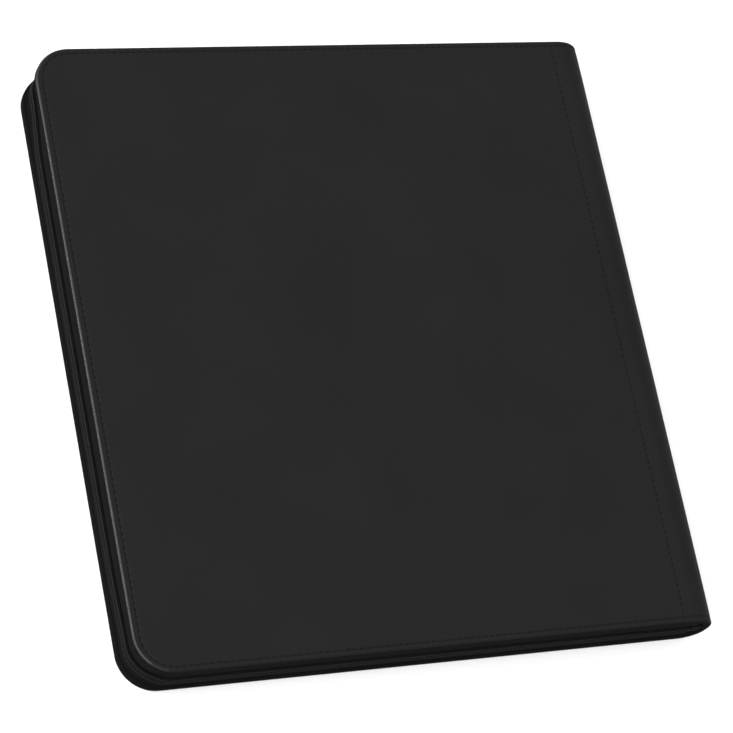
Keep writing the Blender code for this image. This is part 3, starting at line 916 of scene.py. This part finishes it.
# --------------------------------------------------------------------- pages
def page_mesh():
    """One page at height zero: thin web, then four by three pillowy pockets."""
    lo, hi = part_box("page_01")
    x_root = hi[0] / MM - X0
    x_free = lo[0] / MM - X0
    y0, y1 = lo[1] / MM - Y0, hi[1] / MM - Y0
    x_area = x_root - 8.8
    fr = [0.0, 0.006, 0.018, 0.034, 0.06, 0.12, 0.26, 0.5, 0.74, 0.88, 0.94, 0.966, 0.982, 0.994]
    xs = [x_root, x_root - 2.5, x_root - 5.5, x_root - 8.0, x_root - 8.4]
    px = (x_area - x_free) / 4
    for c in range(4):
        xs += [x_area - (c + f) * px for f in fr]
    xs += [x_free + 0.35, x_free]
    xs = sorted(set(round(x, 3) for x in xs), reverse=True)
    ys = []
    py = (y1 - y0) / 3
    for r in range(3):
        ys += [y0 + (r + f) * py for f in fr]
    ys = sorted(set(round(y, 3) for y in ys + [y1]))

    def half(x, y):
        if x > x_area + 0.1:
            t = min(1.0, max(0.0, (x_root - 7.9 - x) / 0.9))
            return 0.10 + 0.07 * t
        u = ((x_area - x) / px) % 1.0
        v = ((y - y0) / py) % 1.0
        a = min(u, 1 - u) * px
        b = min(v, 1 - v) * py

        def rise(q):
            t = min(1.0, max(0.0, (q - 1.2) / 3.2))
            return t * t * (3 - 2 * t)
        p = rise(a) * rise(b)
        slit = 0.07 * bell(u * px - 5.6, 0.7) * rise(b)
        edge = min(1.0, max(0.0, (x - x_free) / 0.35)) if x < x_free + 0.35 else 1.0
        return (0.17 + 0.20 * p - slit) * (0.5 + 0.5 * edge)

    verts, uv, faces = [], [], []
    mid = (y0 + y1) / 2
    for side in (1, -1):
        for x in xs:
            dx = x - x_free
            inset = 5.0 - math.sqrt(max(0.0, 25.0 - (5.0 - dx) ** 2)) if dx < 5.0 else 0.0
            k = ((y1 - y0) / 2 - inset) / ((y1 - y0) / 2)
            for y in ys:
                verts.append((x, mid + (y - mid) * k, side * half(x, y)))
                uv.append((x_area - x, y - y0))
    nx, ny = len(xs), len(ys)
    m = nx * ny
    for i in range(nx - 1):
        for j in range(ny - 1):
            for s in (0, m):
                o = s + i * ny + j
                faces.append([o, o + ny, o + ny + 1, o + 1])
    for i in range(nx - 1):
        for j in (0, ny - 1):
            o = i * ny + j
            faces.append([o, o + ny, m + o + ny, m + o])
    for j in range(ny - 1):
        for i in (0, nx - 1):
            o = i * ny + j
            faces.append([o, o + 1, m + o + 1, m + o])
    return verts, uv, faces


pv, puv, pf = page_mesh()
first_page = None
for n in range(1, 21):
    node = "page_%02d" % n
    lo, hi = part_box(node)
    zc = (lo[2] + hi[2]) / 2
    if first_page is None:
        ob = make("pocket_page_%02d" % n, pv, pf, PAGE_MAT, puv, 60.0)
        first_page = ob
    else:
        ob = bpy.data.objects.new("pocket_page_%02d" % n, first_page.data)
        bpy.context.scene.collection.objects.link(ob)
    ob.location = (0, 0, zc)
    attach(ob, "leaf_%02d" % n)
    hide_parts(node)


# ------------------------------------------------- carried-over CAD nodes
def dress(node, mat, width=0.0, segments=3):
    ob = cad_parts[node]
    for s in ob.material_slots:
        s.material = mat
    if not ob.material_slots:
        ob.data.materials.append(mat)
    if width:
        b = ob.modifiers.new("soft_edges", "BEVEL")
        b.width = width * MM
        b.segments = segments
        b.limit_method = "ANGLE"
        b.angle_limit = math.radians(40)
        b.harden_normals = False
    return ob


for node in ("back_board", "front_board", "spine_board"):
    dress(node, BOARD_MAT)
for node in ("back_foam_pad", "front_foam_pad"):
    dress(node, FOAM_MAT)
dress("page_binding_strip", STRIP_MAT, 0.2)
dress("lower_zip_end_tab", TAB_MAT, 0.5, 4)
dress("upper_zip_end_tab", TAB_MAT, 0.5, 4)
dress("zip_top_stop_lower", METAL_MAT, 0.25)
dress("zip_top_stop_upper", METAL_MAT, 0.25)
dress("zip_slider_body", METAL_MAT, 0.18)
dress("zip_pull", METAL_MAT, 0.22)

# ------------------------------------------------------------ floor and light
floor_mesh = bpy.data.meshes.new("floor")
q = 1.6
floor_mesh.from_pydata([(-q, -q, 0), (q, -q, 0), (q, q, 0), (-q, q, 0)], [], [(0, 1, 2, 3)])
floor = bpy.data.objects.new("floor", floor_mesh)
floor.location = (0, 0, -0.0006)
bpy.context.scene.collection.objects.link(floor)
fm = Net("pale_floor", Roughness=0.95, Specular_IOR_Level=0.1)
fp = fm.coords("Object")
fpath = fm.node("ShaderNodeLightPath")
fm.to("Base Color", fm.mix(fpath.outputs["Is Camera Ray"], (0.46, 0.46, 0.46, 1),
                           fm.mix(fm.noise(fp, 0.01, 2.0), (0.94, 0.94, 0.94, 1), (0.96, 0.96, 0.96, 1))))
floor_mesh.materials.append(fm.mat)
floor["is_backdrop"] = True

world = bpy.data.worlds.new("studio")
bpy.context.scene.world = world
world.use_nodes = True
wt = world.node_tree
bg = wt.nodes["Background"]
tc = wt.nodes.new("ShaderNodeTexCoord")
sep = wt.nodes.new("ShaderNodeSeparateXYZ")
wt.links.new(tc.outputs["Generated"], sep.inputs[0])
ramp = wt.nodes.new("ShaderNodeMapRange")
wt.links.new(sep.outputs[2], ramp.inputs["Value"])
for key, x in (("From Min", 0.0), ("From Max", 0.75), ("To Min", 0.06), ("To Max", 1.25)):
    ramp.inputs[key].default_value = x
path = wt.nodes.new("ShaderNodeLightPath")
pick = wt.nodes.new("ShaderNodeMix")
pick.data_type = "FLOAT"
wt.links.new(path.outputs["Is Camera Ray"], pick.inputs[0])
wt.links.new(ramp.outputs["Result"], pick.inputs[2])
pick.inputs[3].default_value = 1.0
bg.inputs["Color"].default_value = (1.0, 1.0, 1.0, 1)
wt.links.new(pick.outputs[0], bg.inputs["Strength"])


def lamp(name, loc, target, size, power, size_y=None):
    data = bpy.data.lights.new(name, "AREA")
    data.energy = power
    data.size = size
    if size_y:
        data.shape = "RECTANGLE"
        data.size_y = size_y
    ob = bpy.data.objects.new(name, data)
    bpy.context.scene.collection.objects.link(ob)
    ob.location = loc
    ob.rotation_euler = (Vector(target) - Vector(loc)).to_track_quat("-Z", "Y").to_euler()
    return ob


lamp("key_left", (-2.05, 0.72, 0.62), (0, 0, 0.02), 0.36, 34.0, 1.3)
lamp("main_soft", (-2.1, -1.0, 3.3), (0, 0, 0.0), 2.2, 95.0)

bpy.context.scene.view_settings.view_transform = "Standard"

lo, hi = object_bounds()
